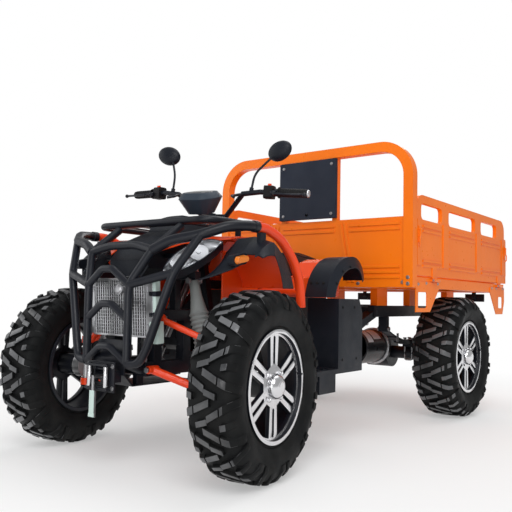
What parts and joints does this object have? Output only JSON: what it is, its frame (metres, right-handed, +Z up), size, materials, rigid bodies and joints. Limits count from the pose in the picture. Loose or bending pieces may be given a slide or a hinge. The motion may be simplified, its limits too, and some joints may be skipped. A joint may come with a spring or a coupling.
{
  "type": "electric quad bike with drop-side cargo bed",
  "caption": "Electric farm quad bike with handlebar steering, front bull bar and winch, lugged tyres and a drop-side steel cargo bed with headboard hoop.",
  "frame": {"origin": "on the floor, under the middle of the overall box", "axes": "-Y is the front, +X is the vehicle's left, +Z is up"},
  "size_m": [1.2726, 2.8849, 1.415],
  "materials": {
    "bed_paint": "powder coat",
    "frame_paint": "powder coat",
    "body_paint": "gloss paint",
    "black_paint": "black powder coat",
    "black_plastic": "textured black plastic",
    "dark_plastic": "dark blue-black plastic",
    "backrest": "dark navy board",
    "seat_cover": "dark vinyl cover",
    "tyre": "black rubber",
    "rim": "machined face with black pockets",
    "silver": "bare aluminium",
    "steel": "steel",
    "boot": "grey rubber boot",
    "lens": "clear lens",
    "amber": "amber lens",
    "grip": "black rubber",
    "motor": "black",
    "battery": "black case"
  },
  "bodies": {
    "vehicle": {"backrest_board": "backrest", "battery_box": "battery", "bed_floor": "bed_paint", "body_panels": "body_paint", "chassis_frame": "frame_paint", "drive_motor": "motor", "fender_guards": "frame_paint", "footwells": "black_plastic", "front_arms": "frame_paint", "front_bumper": "black_paint", "front_cowl": "black_plastic", "front_fenders": "black_plastic", "front_rack": "black_paint", "front_shocks": "boot", "headboard": "bed_paint", "headlamps": "lens", "leaf_springs": "black_paint", "radiator": "silver", "rear_axle": "black_paint", "rear_fenders": "black_plastic", "seat": "seat_cover", "skid_plate": "black_paint", "turn_signals": "amber", "winch": "silver", "winch_hook": "steel"},
    "steering": {"steering_column": "steel", "handlebar": "black_paint", "grips": "grip", "instrument_pod": "dark_plastic", "mirrors": "black_plastic"},
    "knuckle_left": {"knuckle_left": "steel"},
    "knuckle_right": {"knuckle_right": "steel"},
    "tie_rod_left": {"tie_rod_left": "steel"},
    "tie_rod_right": {"tie_rod_right": "steel"},
    "side_left": {"side_left": "bed_paint"},
    "side_right": {"side_right": "bed_paint"},
    "tailgate": {"tailgate": "bed_paint"},
    "wheel_front_left": {"tyre_front_left": "tyre", "rim_front_left": "rim"},
    "wheel_front_right": {"tyre_front_right": "tyre", "rim_front_right": "rim"},
    "wheel_rear_left": {"tyre_rear_left": "tyre", "rim_rear_left": "rim"},
    "wheel_rear_right": {"tyre_rear_right": "tyre", "rim_rear_right": "rim"}
  },
  "joints": [
    {"name": "steering", "type": "hinge", "parent": "vehicle", "child": "steering", "pos_m": [0, -1.0855, 0.38], "axis": [0, 0.4772, 0.8788], "range_deg": [-37, 23]},
    {"name": "knuckle_left_steer", "type": "hinge", "parent": "vehicle", "child": "knuckle_left", "pos_m": [0.415, -1.0985, 0.33], "axis": [0, 0, 1], "range_deg": [-37, 23]},
    {"name": "tie_rod_left_swing", "type": "hinge", "parent": "knuckle_left", "child": "tie_rod_left", "pos_m": [0.38174, -0.99176, 0.3], "axis": [0, 0, 1], "range_deg": [-23, 37]},
    {"name": "wheel_front_left_roll", "type": "hinge", "parent": "knuckle_left", "child": "wheel_front_left", "pos_m": [0.50433, -1.08753, 0.33], "axis": [0.9925, 0.1219, 0], "continuous": true},
    {"name": "wheel_rear_left_roll", "type": "hinge", "parent": "vehicle", "child": "wheel_rear_left", "pos_m": [0.505, 0.7315, 0.33], "axis": [1, 0, 0], "continuous": true},
    {"name": "knuckle_right_steer", "type": "hinge", "parent": "vehicle", "child": "knuckle_right", "pos_m": [-0.415, -1.0985, 0.33], "axis": [0, 0, 1], "range_deg": [-37, 23]},
    {"name": "tie_rod_right_swing", "type": "hinge", "parent": "knuckle_right", "child": "tie_rod_right", "pos_m": [-0.40855, -0.98688, 0.3], "axis": [0, 0, 1], "range_deg": [-23, 37]},
    {"name": "wheel_front_right_roll", "type": "hinge", "parent": "knuckle_right", "child": "wheel_front_right", "pos_m": [-0.50433, -1.10947, 0.33], "axis": [0.9925, 0.1219, 0], "continuous": true},
    {"name": "wheel_rear_right_roll", "type": "hinge", "parent": "vehicle", "child": "wheel_rear_right", "pos_m": [-0.505, 0.7315, 0.33], "axis": [1, 0, 0], "continuous": true},
    {"name": "side_left_drop", "type": "hinge", "parent": "vehicle", "child": "side_left", "pos_m": [0.603, 0.7645, 0.738], "axis": [0, 1, 0], "range_deg": [0, 165]},
    {"name": "side_right_drop", "type": "hinge", "parent": "vehicle", "child": "side_right", "pos_m": [-0.603, 0.7645, 0.738], "axis": [0, -1, 0], "range_deg": [0, 165]},
    {"name": "tailgate_drop", "type": "hinge", "parent": "vehicle", "child": "tailgate", "pos_m": [0, 1.4345, 0.738], "axis": [-1, 0, 0], "range_deg": [0, 165]}
  ],
  "couplings": [
    {"joint": "knuckle_left_steer", "follows": "steering", "ratio": 1},
    {"joint": "tie_rod_left_swing", "follows": "steering", "ratio": -1},
    {"joint": "knuckle_right_steer", "follows": "steering", "ratio": 1},
    {"joint": "tie_rod_right_swing", "follows": "steering", "ratio": -1}
  ]
}
